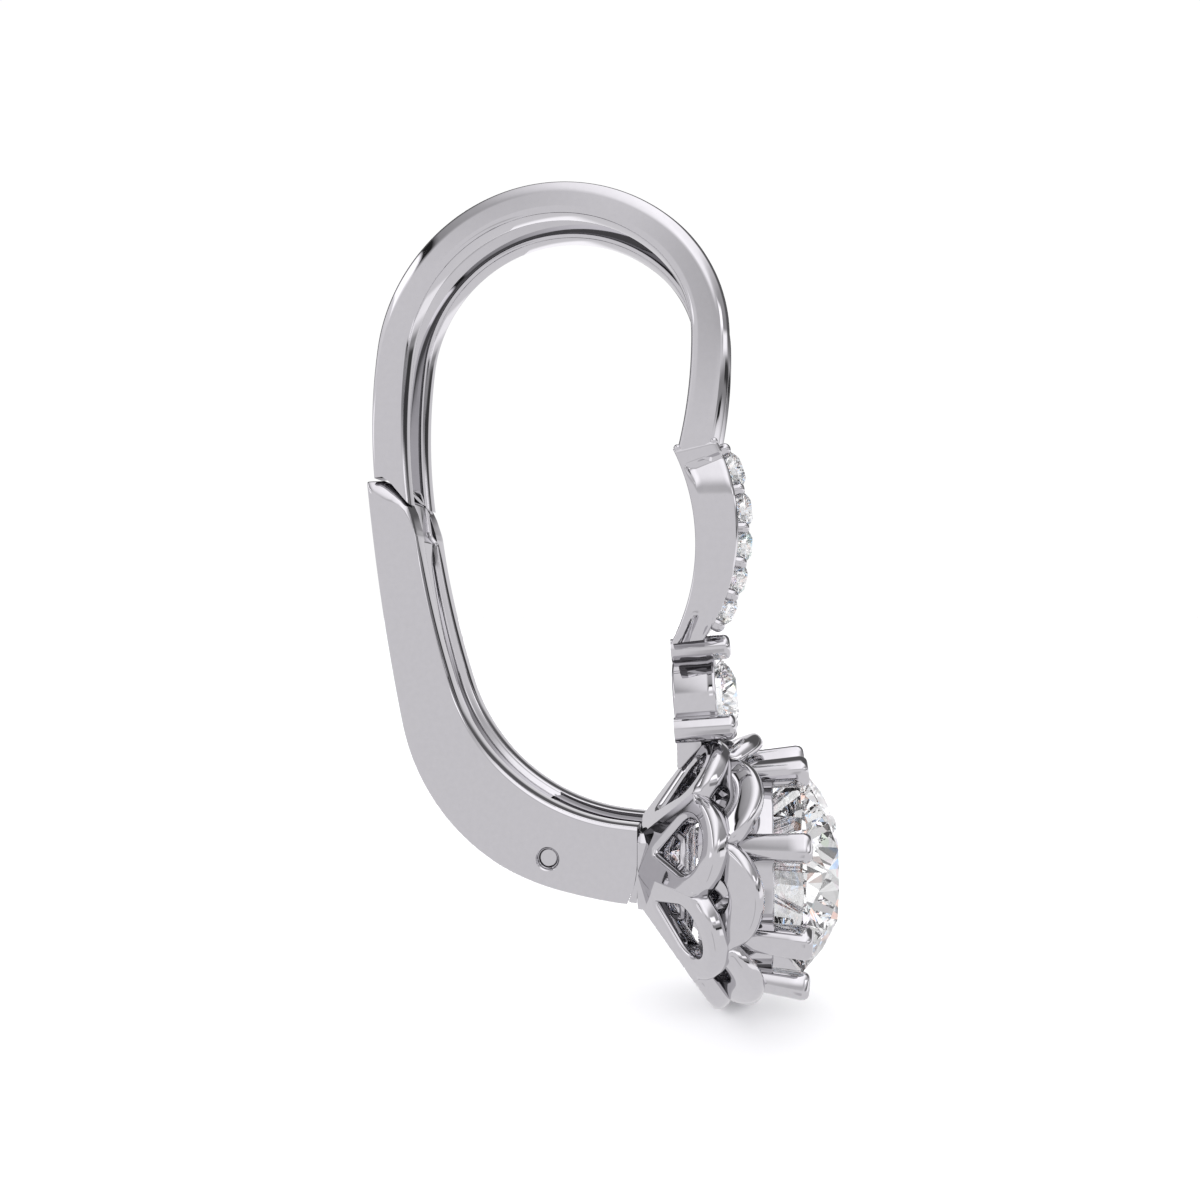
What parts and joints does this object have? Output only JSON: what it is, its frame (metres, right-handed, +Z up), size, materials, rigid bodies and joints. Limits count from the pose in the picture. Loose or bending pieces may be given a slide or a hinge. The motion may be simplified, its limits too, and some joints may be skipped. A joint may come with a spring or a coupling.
{
  "type": "lever back drop earring",
  "caption": "White gold drop hoop earring: ear wire of parallel rails, leaf shaped stone bar, small prong set stone, petalled flower head with a round brilliant, and a hinged back lever.",
  "frame": {"origin": "underside of the ear wire at its crown, where the wire rests in the ear's hole", "axes": "+Z up, +X towards the flower head's front, +Y towards the far side as the picture shows it"},
  "size_m": [0.012, 0.0068, 0.021],
  "materials": {
    "white_gold": "mirror polished 14 carat white gold with rhodium plating",
    "diamond": "clear faceted diamond"
  },
  "bodies": {
    "front": {"front_frame": "white_gold", "hinge_pin": "white_gold", "centre_stone": "diamond", "accent_stone": "diamond"},
    "back_lever": {"lever": "white_gold"}
  },
  "joints": [
    {"name": "lever_swing", "type": "hinge", "parent": "front", "child": "back_lever", "pos_m": [-0.00044, 0, -0.01633], "axis": [0, -1, 0], "range_deg": [0, 40]}
  ]
}
